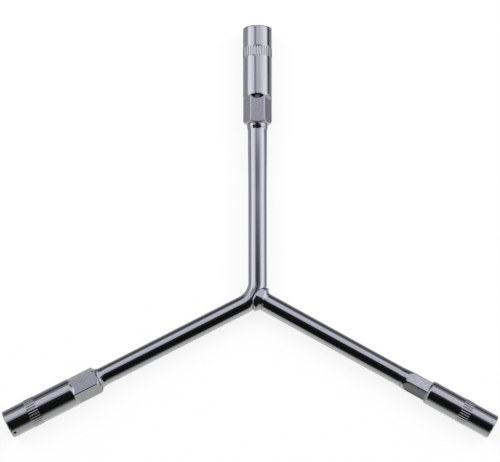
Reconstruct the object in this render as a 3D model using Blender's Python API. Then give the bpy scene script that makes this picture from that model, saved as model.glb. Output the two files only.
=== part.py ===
"""Y wrench: three six-point sockets on the ends of a bent and welded rod frame.

The wrench lies flat, +Z up, with +Y along the upper arm and +X to the right.
Lengths are in metres. The origin lies under the middle of the tool, on the
surface that it rests on.
"""

import math
from collections import namedtuple

import bmesh
import bpy
from mathutils import Matrix, Vector

MM = 0.001

# Rods
ROD_DIAMETER = 12.0 * MM
UPPER_ROD_END_DIAMETER = 12.6 * MM
UPPER_ROD_TAPER_LENGTH = 45.0 * MM
BEND_RADIUS = 16.5 * MM
SPIGOT_DIAMETER = 9.0 * MM
SPIGOT_LENGTH = 12.0 * MM
SPIGOT_CHAMFER = 0.8 * MM

# Sockets, the sizes that all three share
SHANK_LENGTH = 18.2 * MM
SHANK_CORNER_RADIUS = 0.8 * MM
SHANK_SEATING = 2.0 * MM
SHANK_RELIEF = 0.1 * MM
SHOULDER_ROUND = 0.3 * MM
SHOULDER_ANGLE = math.radians(32.0)
RIM_ROUND = 1.0 * MM
KNURL_WIDTH = 6.9 * MM
KNURL_PITCH = 1.53 * MM
KNURL_DEPTH = 0.35 * MM
KNURL_RUNOUT = 0.7 * MM
RECESS_CORNER_RADIUS = 0.2 * MM
SEAT_WIDTH = 1.5 * MM
BOLT_ROOM = 12.0 * MM

# Welds
COLLAR_LENGTH = 4.0 * MM
WELD_OVERLAP = 2.3 * MM
WELD_LIP_RISE = 0.9 * MM
WELD_SIDE_RISE = 2.6 * MM
WELD_FULL_LENGTH = 2.6 * MM
WELD_FADE_LENGTH = 3.8 * MM
WELD_EDGE = 0.25 * MM

# Gap between neighbouring pieces, and how far a cutter runs past a face
PIECE_GAP = 0.3 * MM
OVERRUN = 1.0 * MM

# Shapes given as shares of the sizes that they follow
LEAD_IN_SHARE = 0.5
DOME_SHARES = ((0.0, 0.0), (0.05, 0.25), (0.23, 0.7), (0.5, 0.9), (0.75, 0.98), (1.0, 1.0))
CONE_SHARES = ((0.0, 0.0), (0.45, 0.75), (0.75, 0.93), (1.0, 1.0))
FLARE_SHARES = ((0.0, 0.0), (0.4, 0.1), (0.65, 0.5), (0.9, 0.9), (1.0, 1.0))
BEAD_SHARES = ((0.0, 0.0), (0.09, 0.04), (0.25, 0.56), (0.4, 0.85), (0.8, 0.96), (1.0, 1.0))
FILLET_SHARES = ((0.0, 0.0), (0.3, 0.08), (0.55, 0.25), (0.75, 0.5), (0.9, 0.76), (1.0, 1.0))
RIDGE_SHARES = (0.0, 1.0, 1.0, 0.0)
WELD_FRONT_SHARES = ((1.0, 0.0), (0.75, 0.5), (0.4, 0.85), (0.0, 1.0))

# Numbers of facets
ROD_COLUMNS = 40
BEND_STEPS = 14
RIM_STEPS = 3
WELD_STEPS = 5

Socket = namedtuple(
    "Socket",
    "name angle roll reach length nut_size wall flat_depth nose_length nose_shares"
    " knurl_to_mouth knurl_rise collar_rise collar_shares",
)

# Angles are counted from +X, and a roll turns the shank's flats from facing up.
# A wall is measured at the recess's corners, and a flat's depth from the body's surface.
UPPER = Socket(
    name="upper",
    angle=math.radians(90.0),
    roll=math.radians(0.0),
    reach=178.8 * MM,
    length=64.8 * MM,
    nut_size=14.0 * MM,
    wall=1.42 * MM,
    flat_depth=1.35 * MM,
    nose_length=2.6 * MM,
    nose_shares=DOME_SHARES,
    knurl_to_mouth=13.6 * MM,
    knurl_rise=0.08 * MM,
    collar_rise=0.55 * MM,
    collar_shares=BEAD_SHARES,
)
LEFT = Socket(
    name="left",
    angle=math.radians(207.2),
    roll=math.radians(7.0),
    reach=178.2 * MM,
    length=64.2 * MM,
    nut_size=12.0 * MM,
    wall=2.17 * MM,
    flat_depth=1.15 * MM,
    nose_length=2.1 * MM,
    nose_shares=CONE_SHARES,
    knurl_to_mouth=15.0 * MM,
    knurl_rise=0.28 * MM,
    collar_rise=0.9 * MM,
    collar_shares=FILLET_SHARES,
)
RIGHT = Socket(
    name="right",
    angle=math.radians(-29.1),
    roll=math.radians(-18.5),
    reach=170.6 * MM,
    length=64.2 * MM,
    nut_size=10.0 * MM,
    wall=2.03 * MM,
    flat_depth=1.5 * MM,
    nose_length=4.5 * MM,
    nose_shares=FLARE_SHARES,
    knurl_to_mouth=16.4 * MM,
    knurl_rise=0.16 * MM,
    collar_rise=0.25 * MM,
    collar_shares=FILLET_SHARES,
)
SOCKETS = (UPPER, LEFT, RIGHT)

UP = Vector((0.0, 0.0, 1.0))


# Places worked out from the sizes

def arm_direction(socket):
    """Unit vector from the junction out along an arm."""
    return Vector((math.cos(socket.angle), math.sin(socket.angle), 0.0))


def recess_corner(socket):
    """Distance from a socket's axis to the corners of its recess, before they are rounded."""
    return socket.nut_size / 2 / math.cos(math.pi / 6)


def body_radius(socket):
    """Radius of a socket's round body: the recess's corners and the wall outside them."""
    return recess_corner(socket) + socket.wall


def shank_flat(socket):
    """Distance from a socket's axis to the flats of its shank."""
    return body_radius(socket) - socket.flat_depth


def rod_end_radius(socket):
    """Radius of the rod where it meets a socket's weld."""
    return (UPPER_ROD_END_DIAMETER if socket is UPPER else ROD_DIAMETER) / 2


def socket_start(socket):
    """Distance from the junction to a socket's inner end."""
    return socket.reach - socket.length


def shoulder_start(socket):
    """Distance from the junction to the shoulder where the full rod ends and its spigot begins."""
    return socket_start(socket) - PIECE_GAP - COLLAR_LENGTH - PIECE_GAP


def nose_radius(socket):
    """Radius of a socket's inner end, level with the weld that meets it."""
    return rod_end_radius(socket) + socket.collar_rise


def furthest(direction):
    """How far the sockets' rounded mouths reach from the junction in one direction."""
    reaches = []
    for socket in SOCKETS:
        along = arm_direction(socket).dot(direction)
        across = math.sqrt(max(0.0, 1.0 - along * along))
        core = (socket.reach - RIM_ROUND) * along
        reaches.append(core + (body_radius(socket) - RIM_ROUND) * across + RIM_ROUND)
    return max(reaches)


def junction_place():
    """The junction's place, with the tool's box centred over the origin and standing on it."""
    x = (furthest(Vector((-1.0, 0.0, 0.0))) - furthest(Vector((1.0, 0.0, 0.0)))) / 2
    y = (furthest(Vector((0.0, -1.0, 0.0))) - furthest(Vector((0.0, 1.0, 0.0)))) / 2
    z = max(body_radius(socket) + socket.knurl_rise for socket in SOCKETS)
    return Vector((x, y, z))


# Building blocks

def clear_scene():
    for item in list(bpy.data.objects):
        bpy.data.objects.remove(item, do_unlink=True)


def make_material(name, colour, roughness):
    material = bpy.data.materials.new(name)
    material.use_nodes = True
    shader = material.node_tree.nodes["Principled BSDF"]
    shader.inputs["Base Color"].default_value = (*colour, 1.0)
    shader.inputs["Metallic"].default_value = 1.0
    shader.inputs["Roughness"].default_value = roughness
    return material


def level_circle(height, radii):
    """A ring about local Z, its first point on the X side."""
    return circle(UP * height, Vector((0.0, 1.0, 0.0)), Vector((1.0, 0.0, 0.0)), radii)


def circle(centre, across, upright, radii):
    """Points round a centre, one for each radius, turning from upright towards across."""
    step = 2 * math.pi / len(radii)
    return [
        centre + (upright * math.cos(i * step) + across * math.sin(i * step)) * radius
        for i, radius in enumerate(radii)
    ]


def bridge(bm, first, second):
    """Faces between two rings, where one may have a whole multiple of the other's points."""
    columns = min(len(first), len(second))
    a = len(first) // columns
    b = len(second) // columns
    faces = []
    for i in range(columns):
        lower = [first[(i * a + k) % len(first)] for k in range(a + 1)]
        higher = [second[(i * b + k) % len(second)] for k in range(b + 1)]
        faces.append(bm.faces.new(lower + higher[::-1]))
    bmesh.ops.triangulate(bm, faces=[face for face in faces if len(face.verts) > 4])


def loft(name, rings, closed_loop=False):
    """A closed mesh through rings of points, capped at both ends or joined end to start."""
    bm = bmesh.new()
    loops = [[bm.verts.new(point) for point in ring] for ring in rings]
    for first, second in zip(loops, loops[1:]):
        bridge(bm, first, second)
    if closed_loop:
        bridge(bm, loops[-1], loops[0])
    else:
        bm.faces.new(loops[0][::-1])
        bm.faces.new(loops[-1])
    bmesh.ops.recalc_face_normals(bm, faces=bm.faces)
    mesh = bpy.data.meshes.new(name)
    bm.to_mesh(mesh)
    bm.free()
    return mesh


def turned(name, profile, columns, closed_loop=False):
    """A turned form about local Z from (radius, height) pairs."""
    rings = [level_circle(height, [radius] * columns) for radius, height in profile]
    return loft(name, rings, closed_loop)


def add_object(name, mesh, parent, material=None):
    item = bpy.data.objects.new(name, mesh)
    bpy.context.collection.objects.link(item)
    item.parent = parent
    if material:
        mesh.materials.append(material)
        mesh.shade_smooth()
        mesh.set_sharp_from_angle(angle=math.radians(30.0))
    return item


def add_guide(name, mesh, parent):
    """A form that only cuts or joins another, left out of the model itself."""
    item = add_object(name, mesh, parent)
    item.hide_render = True
    item.display_type = "WIRE"
    return item


def add_boolean(item, operation, other):
    modifier = item.modifiers.new(other.name, "BOOLEAN")
    modifier.operation = operation
    modifier.solver = "EXACT"
    modifier.object = other


def add_empty(name, matrix, parent=None):
    item = bpy.data.objects.new(name, None)
    bpy.context.collection.objects.link(item)
    item.parent = parent
    item.matrix_local = matrix
    return item


# Rods

def rod_ring(station, direction, radius):
    """A ring square to an arm, at a distance from the junction."""
    across = direction.cross(UP)
    return circle(direction * station, across, UP, [radius] * ROD_COLUMNS)


def spigot_rings(socket, full_radius):
    """Rings from the full rod's shoulder to the chamfered tip inside a socket."""
    direction = arm_direction(socket)
    shoulder = shoulder_start(socket)
    tip = socket_start(socket) + SPIGOT_LENGTH
    radius = SPIGOT_DIAMETER / 2
    return [
        rod_ring(shoulder, direction, full_radius),
        rod_ring(shoulder, direction, radius),
        rod_ring(tip - SPIGOT_CHAMFER, direction, radius),
        rod_ring(tip, direction, radius - SPIGOT_CHAMFER),
    ]


def bend_rings(radius):
    """Rings round the bend, from the upper arm's tangent point to the left arm's."""
    first = arm_direction(UPPER)
    last = arm_direction(LEFT)
    turn = math.pi - first.angle(last)
    tangent = BEND_RADIUS * math.tan(turn / 2)
    centre = (first + last).normalized() * (BEND_RADIUS / math.cos(turn / 2))
    start = first * tangent - centre
    sense = -math.copysign(1.0, first.cross(last).z)
    rings = []
    for i in range(BEND_STEPS + 1):
        turning = Matrix.Rotation(sense * turn * i / BEND_STEPS, 3, "Z")
        outward = (turning @ start).normalized()
        # The same side of the rod stays the first column all the way round
        rings.append(circle(centre + outward * BEND_RADIUS, outward, UP, [radius] * ROD_COLUMNS))
    return rings


def main_rod_mesh(name, growth, with_spigots):
    """The bent rod, plain and grown all round where it serves as a cutter."""
    radius = ROD_DIAMETER / 2 + growth
    upper_end = rod_end_radius(UPPER) + growth
    direction = arm_direction(UPPER)
    taper_start = shoulder_start(UPPER) - UPPER_ROD_TAPER_LENGTH
    if with_spigots:
        upper = spigot_rings(UPPER, upper_end)[::-1]
        left = spigot_rings(LEFT, radius)
    else:
        upper = [rod_ring(shoulder_start(UPPER), direction, upper_end)]
        left = [rod_ring(shoulder_start(LEFT), arm_direction(LEFT), radius)]
    left = [mirrored(ring) for ring in left]
    rings = upper + [rod_ring(taper_start, direction, radius)] + bend_rings(radius) + left
    return loft(name, rings)


def mirrored(ring):
    """The same ring counted the other way round from its first point."""
    return ring[:1] + ring[:0:-1]


def branch_rod_mesh(name, growth, start, with_spigot):
    """The straight rod from the junction out to the right socket."""
    direction = arm_direction(RIGHT)
    radius = ROD_DIAMETER / 2 + growth
    if with_spigot:
        outer = spigot_rings(RIGHT, radius)
    else:
        outer = [rod_ring(shoulder_start(RIGHT), direction, radius)]
    return loft(name, [rod_ring(start, direction, radius)] + outer)


def make_rods(frame):
    rod_finish = make_material("rod_chrome", (0.62, 0.62, 0.64), 0.12)
    branch_finish = make_material("branch_chrome", (0.62, 0.62, 0.64), 0.12)
    add_object("main_rod", main_rod_mesh("main_rod", 0.0, True), frame, rod_finish)
    branch = add_object("branch_rod", branch_rod_mesh("branch_rod", 0.0, 0.0, True), frame, branch_finish)
    coping = add_guide("coping_cutter", main_rod_mesh("coping_cutter", PIECE_GAP, False), frame)
    add_boolean(branch, "DIFFERENCE", coping)
    return coping


# Welds

def fade(share):
    """Falls smoothly from one to zero."""
    return 1.0 - share * share * (3.0 - 2.0 * share)


def junction_weld_ring(station, fullness):
    """A ring of the bead: low over the rods' crowns and high in the grooves at their sides."""
    direction = arm_direction(RIGHT)
    least = ROD_DIAMETER / 2 + PIECE_GAP + WELD_EDGE
    radii = []
    for i in range(ROD_COLUMNS):
        side = math.sin(2 * math.pi * i / ROD_COLUMNS) ** 2
        rise = WELD_LIP_RISE + (WELD_SIDE_RISE - WELD_LIP_RISE) * side
        radii.append(least + (ROD_DIAMETER / 2 + rise - least) * fullness)
    return circle(direction * station, direction.cross(UP), UP, radii)


def make_junction_weld(frame, coping):
    rings = [junction_weld_ring(-WELD_OVERLAP * back, full) for back, full in WELD_FRONT_SHARES]
    for i in range(WELD_STEPS + 1):
        share = i / WELD_STEPS
        rings.append(junction_weld_ring(WELD_FULL_LENGTH + WELD_FADE_LENGTH * share, fade(share)))
    finish = make_material("weld_chrome", (0.6, 0.6, 0.62), 0.2)
    weld = add_object("junction_weld", loft("junction_weld", rings), frame, finish)
    branch_cutter = add_guide(
        "branch_cutter", branch_rod_mesh("branch_cutter", PIECE_GAP, -PIECE_GAP, False), frame
    )
    add_boolean(weld, "DIFFERENCE", coping)
    add_boolean(weld, "DIFFERENCE", branch_cutter)


def make_socket_weld(socket, axis):
    """A ring of weld round the spigot, between the rod's shoulder and the socket's end."""
    low = -PIECE_GAP - COLLAR_LENGTH
    inner = SPIGOT_DIAMETER / 2 + PIECE_GAP
    profile = [(inner, -PIECE_GAP), (inner, low)]
    for along, rise in socket.collar_shares:
        profile.append((rod_end_radius(socket) + socket.collar_rise * rise, low + COLLAR_LENGTH * along))
    name = socket.name + "_socket_weld"
    finish = make_material(name + "_chrome", (0.6, 0.6, 0.62), 0.2)
    add_object(name, turned(name, profile, ROD_COLUMNS, closed_loop=True), axis, finish)


# Sockets, each about its own Z axis with the inner end at zero and the mouth at its length

def knurl_count(socket):
    """Ridges round the body, a multiple of three so that the rings beside them divide evenly."""
    return 3 * round(2 * math.pi * body_radius(socket) / (3 * KNURL_PITCH))


def knurl_radii(socket):
    """Radii round the knurl: valley, crest, crest, valley for each ridge."""
    valley = body_radius(socket) - KNURL_DEPTH
    ridge = [valley + (KNURL_DEPTH + socket.knurl_rise) * share for share in RIDGE_SHARES]
    return ridge * knurl_count(socket)


def body_mesh(socket):
    """The round body: conical shoulder, knurled band and rounded rim."""
    radius = body_radius(socket)
    columns = knurl_count(socket) * len(RIDGE_SHARES) // 3
    root = shank_flat(socket) - SHANK_RELIEF
    knurl_end = socket.length - socket.knurl_to_mouth
    knurl_start = knurl_end - KNURL_WIDTH
    fine = len(RIDGE_SHARES) * knurl_count(socket)
    plain_band = [radius] * fine
    slope = math.tan(SHOULDER_ANGLE)
    levels = [
        (SHANK_LENGTH - (radius - root) / slope, [root] * columns),
        (SHANK_LENGTH - SHOULDER_ROUND, [radius - SHOULDER_ROUND * slope] * columns),
        (SHANK_LENGTH + SHOULDER_ROUND, [radius] * columns),
        (knurl_start - KNURL_RUNOUT, [radius] * columns),
        (knurl_start, plain_band),
        (knurl_start + KNURL_RUNOUT, knurl_radii(socket)),
        (knurl_end - KNURL_RUNOUT, knurl_radii(socket)),
        (knurl_end, plain_band),
        (knurl_end + KNURL_RUNOUT, [radius] * columns),
    ]
    for i in range(RIM_STEPS + 1):
        turn = math.pi / 2 * i / RIM_STEPS
        inset = RIM_ROUND * (1.0 - math.cos(turn))
        levels.append((socket.length - RIM_ROUND * (1.0 - math.sin(turn)), [radius - inset] * columns))
    return loft(socket.name + "_socket", [level_circle(height, radii) for height, radii in levels])


def hexagon(flat, corner_radius):
    """A hexagon by its flats' distance, first flat facing +X, each corner rounded by three points."""
    points = []
    reach = (flat - corner_radius) / math.cos(math.pi / 6)
    for i in range(6):
        middle = math.radians(30.0 + 60.0 * i)
        centre = Vector((math.cos(middle), math.sin(middle), 0.0)) * reach
        for offset in (-30.0, 0.0, 30.0):
            angle = middle + math.radians(offset)
            points.append(centre + Vector((math.cos(angle), math.sin(angle), 0.0)) * corner_radius)
    return points


def prism(name, outline, low, high):
    return loft(name, [[point + UP * height for point in outline] for height in (low, high)])


def shank_mesh(socket):
    """The turned blank of the hexagon shank: a round nose that opens to the hexagon's corners."""
    start = nose_radius(socket)
    corner = shank_flat(socket) / math.cos(math.pi / 6)
    crown = max(start, min(corner, body_radius(socket) - SHANK_RELIEF))
    profile = [
        (start + (crown - start) * rise, socket.nose_length * along)
        for along, rise in socket.nose_shares
    ]
    profile.append((crown, SHANK_LENGTH + SHANK_SEATING))
    columns = knurl_count(socket) * len(RIDGE_SHARES) // 3
    return turned(socket.name + "_shank", profile, columns)


def recess_meshes(socket):
    """Cutters: the hexagon recess, its lead-in, the bore behind the seat, and the spigot's bore."""
    name = socket.name
    mouth = socket.length
    flat = socket.nut_size / 2
    lead_in = flat + (recess_corner(socket) - flat) * LEAD_IN_SHARE
    seat = mouth - socket.nut_size
    bore = flat - SEAT_WIDTH
    floor = seat - BOLT_ROOM
    outline = hexagon(flat, RECESS_CORNER_RADIUS)
    recess = prism(name + "_recess_cutter", outline, seat, mouth + OVERRUN)
    opening = lead_in - flat
    cone = turned(
        name + "_lead_in_cutter",
        [(flat, mouth - opening), (lead_in, mouth), (lead_in + OVERRUN, mouth + OVERRUN)],
        ROD_COLUMNS,
    )
    drill = turned(
        name + "_bore_cutter",
        [(bore / 2, floor), (bore, floor + bore / 2), (bore, seat + OVERRUN)],
        ROD_COLUMNS,
    )
    radius = SPIGOT_DIAMETER / 2 + PIECE_GAP
    pocket = turned(
        name + "_pocket_cutter",
        [(radius, -OVERRUN), (radius, SPIGOT_LENGTH + PIECE_GAP)],
        ROD_COLUMNS,
    )
    return recess, cone, drill, pocket


def make_socket(socket, axis):
    name = socket.name + "_socket"
    finish = make_material(name + "_chrome", (0.62, 0.62, 0.64), 0.15)
    item = add_object(name, body_mesh(socket), axis, finish)
    shank = add_guide(socket.name + "_shank", shank_mesh(socket), axis)
    flats = add_guide(
        socket.name + "_flats",
        prism(
            socket.name + "_flats",
            hexagon(shank_flat(socket), SHANK_CORNER_RADIUS),
            -OVERRUN,
            SHANK_LENGTH + SHANK_SEATING / 2,
        ),
        axis,
    )
    add_boolean(shank, "INTERSECT", flats)
    add_boolean(item, "UNION", shank)
    for mesh in recess_meshes(socket):
        add_boolean(item, "DIFFERENCE", add_guide(mesh.name, mesh, axis))


def socket_axis(socket, frame):
    """An empty at a socket's inner end, Z out along the arm and X up, turned by the socket's roll."""
    direction = arm_direction(socket)
    side = direction.cross(UP)
    first = UP * math.cos(socket.roll) + side * math.sin(socket.roll)
    second = direction.cross(first)
    matrix = Matrix((first, second, direction)).transposed().to_4x4()
    matrix.translation = direction * socket_start(socket)
    return add_empty(socket.name + "_axis", matrix, frame)


def main():
    clear_scene()
    frame = add_empty("junction", Matrix.Translation(junction_place()))
    coping = make_rods(frame)
    make_junction_weld(frame, coping)
    for socket in SOCKETS:
        axis = socket_axis(socket, frame)
        make_socket(socket, axis)
        make_socket_weld(socket, axis)


main()
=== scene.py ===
# %% [markdown]
# # Dressing a chrome Y wrench
#
# The wrench is a bent bar, a second bar welded to the outside of the bend, and a socket on each of
# the three ends. Chrome plate has almost no colour of its own, so nearly all that the eye reads is
# the shape of the metal and the room that it mirrors. This lesson therefore spends its effort on
# three things: exact surfaces, a finish that differs between turned, drawn, ground and welded
# metal, and a studio with a dark overhead panel between bright ones.
#
# The imported model comes first. It gives the place of every piece.

import math
from collections import namedtuple

import bpy
import numpy as np
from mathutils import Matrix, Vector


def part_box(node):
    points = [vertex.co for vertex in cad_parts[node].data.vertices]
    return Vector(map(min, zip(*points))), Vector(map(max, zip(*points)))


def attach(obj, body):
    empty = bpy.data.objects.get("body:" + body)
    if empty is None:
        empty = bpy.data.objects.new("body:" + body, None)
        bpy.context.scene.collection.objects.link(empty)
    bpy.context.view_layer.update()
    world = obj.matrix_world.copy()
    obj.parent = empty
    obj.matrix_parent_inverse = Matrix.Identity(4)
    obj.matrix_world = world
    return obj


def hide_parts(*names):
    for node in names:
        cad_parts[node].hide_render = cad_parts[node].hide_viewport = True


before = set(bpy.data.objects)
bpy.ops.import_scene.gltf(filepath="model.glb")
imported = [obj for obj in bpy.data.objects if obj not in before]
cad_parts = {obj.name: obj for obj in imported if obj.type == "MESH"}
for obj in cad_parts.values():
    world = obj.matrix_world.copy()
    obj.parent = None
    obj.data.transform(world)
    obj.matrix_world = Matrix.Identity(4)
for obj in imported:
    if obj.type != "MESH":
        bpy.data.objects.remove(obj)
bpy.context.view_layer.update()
MM = 0.001

# %% [markdown]
# The three arms are one pattern in three sizes, so a table holds their sizes side by side: upper,
# left, right. The nose is where a socket meets its collar, the ring of weld. Each was finished a
# little differently by hand: the upper nose is domed, the left one coned and the right one flared.
# Outlines are kept as shares of a length and a height, so one function builds all three.

# %% Sizes of the three arms
ROD_RADIUS = 6.0 * MM
DOME_SHARES = ((0.0, 0.0), (0.05, 0.25), (0.23, 0.7), (0.5, 0.9), (0.75, 0.98), (1.0, 1.0))
CONE_SHARES = ((0.0, 0.0), (0.45, 0.75), (0.75, 0.93), (1.0, 1.0))
FLARE_SHARES = ((0.0, 0.0), (0.4, 0.1), (0.65, 0.5), (0.9, 0.9), (1.0, 1.0))
BEAD_SHARES = ((0.0, 0.0), (0.15, 0.04), (0.36, 0.55), (0.52, 0.85), (0.8, 0.95), (1.0, 1.0))
FILLET_SHARES = ((0.0, 0.0), (0.3, 0.08), (0.55, 0.25), (0.75, 0.5), (0.9, 0.76), (1.0, 1.0))

MILLIMETRES = {
    "reach": (178.8, 178.2, 170.6),
    "length": (64.8, 64.2, 64.2),
    "rod_end_radius": (6.3, 6.0, 6.0),
    "nut_size": (14.0, 12.0, 10.0),
    "wall": (1.42, 2.17, 2.03),
    "flat_depth": (1.35, 1.15, 1.5),
    "nose_length": (2.6, 2.1, 4.5),
    "knurl_to_mouth": (13.6, 15.0, 16.4),
    "knurl_rise": (0.08, 0.28, 0.16),
    "collar_rise": (0.55, 0.9, 0.25),
    "collar_lag": (0.8, 0.0, 0.0),
}
DEGREES = {
    "angle": (90.0, 207.2, -29.1),
    "roll": (0.0, 7.0, -18.5),
    "shoulder": (32.0, 32.0, 52.0),
    "knurl_turn": (0.0, -3.8, 5.5),
}
TABLE = {
    "name": ("upper", "left", "right"),
    "ridges": (39, 36, 33),
    "satin_share": (0.75, 1.0, 1.0),
    "nose_shares": (DOME_SHARES, CONE_SHARES, FLARE_SHARES),
    "collar_shares": (BEAD_SHARES, FILLET_SHARES, FILLET_SHARES),
    **{key: [value * MM for value in row] for key, row in MILLIMETRES.items()},
    **{key: [math.radians(value) for value in row] for key, row in DEGREES.items()},
}
Arm = namedtuple("Arm", TABLE)
ARMS = [Arm(*column) for column in zip(*TABLE.values())]
UPPER, LEFT, RIGHT = ARMS


def recess_corner(arm):
    """Half the nut size divided by the cosine of 30 degrees: axis to the recess's corner."""
    return arm.nut_size / 2 / math.cos(math.pi / 6)


def body_radius(arm):
    """The recess's corner and the wall outside it."""
    return recess_corner(arm) + arm.wall


for arm in ARMS:
    print(arm.name, "body", round(2 * body_radius(arm) / MM, 2), "mm across")

# %% [markdown]
# Every arm starts at the junction, where the axes of the bars meet. The junction's place is read
# from the frame: it lies under the upper socket's middle, one reach back from its mouth. Each arm
# then has three directions of its own. One runs out along the arm, one points to the first flat of
# its hexagon, and the third completes the corner.

# %% The junction and the arms' directions
UP = np.array([0.0, 0.0, 1.0])
upper_low, upper_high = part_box("upper_socket")
rod_low, rod_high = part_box("main_rod")
JUNCTION = np.array([
    (upper_low.x + upper_high.x) / 2, upper_high.y - UPPER.reach, (rod_low.z + rod_high.z) / 2,
])


def heading(arm):
    """Unit vector out along the arm: cosine and sine of its angle, level."""
    return np.array([math.cos(arm.angle), math.sin(arm.angle), 0.0])


def socket_start(arm):
    """Reach minus length: the distance from the junction to the socket's inner end."""
    return arm.reach - arm.length


def arm_place(arm, radius, turn, height):
    """Points at a radius and turn round the arm's axis, a height above the socket's inner end.

    Point = inner end + first * radius * cos(turn) + second * radius * sin(turn) + along * height.
    """
    along = heading(arm)
    side = np.cross(along, UP)
    first = UP * math.cos(arm.roll) + side * math.sin(arm.roll)
    second = np.cross(along, first)
    start = JUNCTION + along * socket_start(arm)
    radius, turn, height = (item[..., None] for item in np.broadcast_arrays(radius, turn, height))
    return start + first * radius * np.cos(turn) + second * radius * np.sin(turn) + along * height


print("junction in mm:", (JUNCTION / MM).round(3))

# %% [markdown]
# Each piece is one skin stretched over a grid of points. The grid's columns run round the piece
# and close on themselves, and its rows run along it. A skin is shut either by a point at each end
# or by joining its last row to its first. Next to the points goes a chart of the surface, in
# metres round and along, so that grinding lines can follow the metal. A modifier stack could do
# the same, but then the shape would hide in a dozen settings instead of one formula.

# %% Faces over a grid
def even_turns(columns):
    """Turns spread evenly over one round: 2 pi * number / columns."""
    return 2 * np.pi * np.arange(columns) / columns


def fan(pole, first, second, chart_first, chart_second):
    """Triangles from a pole to each step of a row, and their corners on the chart."""
    triangles = np.stack([np.full(len(first), pole), first, second], -1)
    tip = np.stack([(chart_first[:, 0] + chart_second[:, 0]) / 2, chart_second[:, 1]], -1)
    return triangles, np.stack([tip, chart_first, chart_second], 1).reshape(-1, 2)


def grid_faces(rows, around, along, poles):
    """Points, faces, the same faces as triangles, and each face corner's place on the chart.

    Quad (i, j) joins (i, j), (i, j+1), (i+1, j+1) and (i+1, j), and columns wrap round. With two
    poles a fan of triangles shuts each end; without them the last row joins the first.
    """
    count, columns = rows.shape[:2]
    index = np.arange(count * columns).reshape(count, columns)
    lower, upper = (index, np.roll(index, -1, 0)) if poles is None else (index[:-1], index[1:])
    quads = np.stack([lower, np.roll(lower, -1, 1), np.roll(upper, -1, 1), upper], -1)
    quads = quads.reshape(-1, 4)
    closing = around[:, 0] + (around[:, -1] - around[:, 0]) * columns / (columns - 1)
    grid = np.stack([np.concatenate([around, closing[:, None]], 1),
                     np.concatenate([along, along[:, :1]], 1)], -1)
    low = np.arange(len(lower))
    high = (low + 1) % count
    corners = np.stack([grid[low, :-1], grid[low, 1:], grid[high, 1:], grid[high, :-1]], 2)
    points, faces, chart = rows.reshape(-1, 3), quads.tolist(), [corners.reshape(-1, 2)]
    triangles = [quads[:, [0, 1, 2]], quads[:, [0, 2, 3]]]
    if poles is not None:
        first, last, pole = index[0], index[-1], len(points)
        points = np.vstack([points, np.asarray(poles)])
        for cap, corners in (
            fan(pole, np.roll(first, -1), first, grid[0, 1:], grid[0, :-1]),
            fan(pole + 1, last, np.roll(last, -1), grid[-1, :-1], grid[-1, 1:]),
        ):
            faces += cap.tolist()
            triangles.append(cap)
            chart.append(corners)
    return points, faces, np.vstack(triangles), np.vstack(chart)


print("four even turns in degrees:", np.degrees(even_turns(4)).round())

# %% [markdown]
# A mesh takes these lists as they are. Its faces have to look outwards, and the sign of its volume
# tells whether they do. Faces are shaded smooth, and an edge where two of them meet at more than
# the sharp angle stays crisp.

# %% Skins over a grid
SHARP_ANGLE = math.radians(42.0)


def smooth_step(share):
    """3 s squared minus 2 s cubed, with the share held between nought and one."""
    share = np.clip(share, 0.0, 1.0)
    return share * share * (3.0 - 2.0 * share)


def signed_volume(points, triangles):
    """A sixth of the sum of each triangle's triple product, positive when faces look outwards."""
    a, b, c = (points[triangles[:, k]] for k in range(3))
    return float(np.einsum("ij,ij->i", a, np.cross(b, c)).sum() / 6.0)


def new_object(name, data):
    """An object for the data, linked to the scene."""
    item = bpy.data.objects.new(name, data)
    bpy.context.scene.collection.objects.link(item)
    return item


def skin(name, rows, around, along, poles=None, tags=None):
    """A closed mesh over rows[row, column], with its chart and its tags on the points."""
    points, faces, triangles, chart = grid_faces(rows, around, along, poles)
    volume = signed_volume(points - points.mean(0), triangles)
    mesh = bpy.data.meshes.new(name)
    mesh.from_pydata(points.tolist(), [], faces)
    layer = mesh.uv_layers.new(name="chart")
    layer.data.foreach_set("uv", chart.astype(np.float32).ravel())
    for tag, values in (tags or {}).items():
        marks = values.ravel()
        if poles is not None:
            marks = np.concatenate([marks, [values[0].mean(), values[-1].mean()]])
        attribute = mesh.attributes.new(tag, "FLOAT", "POINT")
        attribute.data.foreach_set("value", marks.astype(np.float32))
    if volume < 0:
        mesh.flip_normals()
    mesh.shade_smooth()
    mesh.set_sharp_from_angle(angle=SHARP_ANGLE)
    print(name, len(points), "points", round(abs(volume) / MM ** 3), "cubic mm")
    return new_object(name, mesh)


print("edges stay sharp from", round(math.degrees(SHARP_ANGLE)), "degrees")

# %% [markdown]
# ## The bars
#
# The main bar is 12 mm round steel, bent once round a former, and a touch thicker towards the
# upper socket. It is a circle carried along a path of three parts: straight, arc, straight. The
# ring of points keeps one side up all the way, so the arc adds no twist. The swell ends where the
# weld ring begins, and the bar runs on a little way into each socket, as the real one does.

# %% The main bar
BEND_RADIUS = 16.5 * MM
SWELL_LENGTH = 45.0 * MM
BAR_SOCKET_OVERLAP = 1.0 * MM
COLLAR_LENGTH = 4.6 * MM
BAR_COLUMNS = 96
STRAIGHT_ROWS = 48
BEND_ROWS = 64


def bend():
    """The bend's turn, and its centre as seen from the junction.

    The centre lies on the line between the two arms, at radius / cos(half the turn).
    """
    first, last = heading(UPPER), heading(LEFT)
    turn = math.pi - math.acos(float(first @ last))
    halfway = (first + last) / np.linalg.norm(first + last)
    return turn, halfway * BEND_RADIUS / math.cos(turn / 2)


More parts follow.
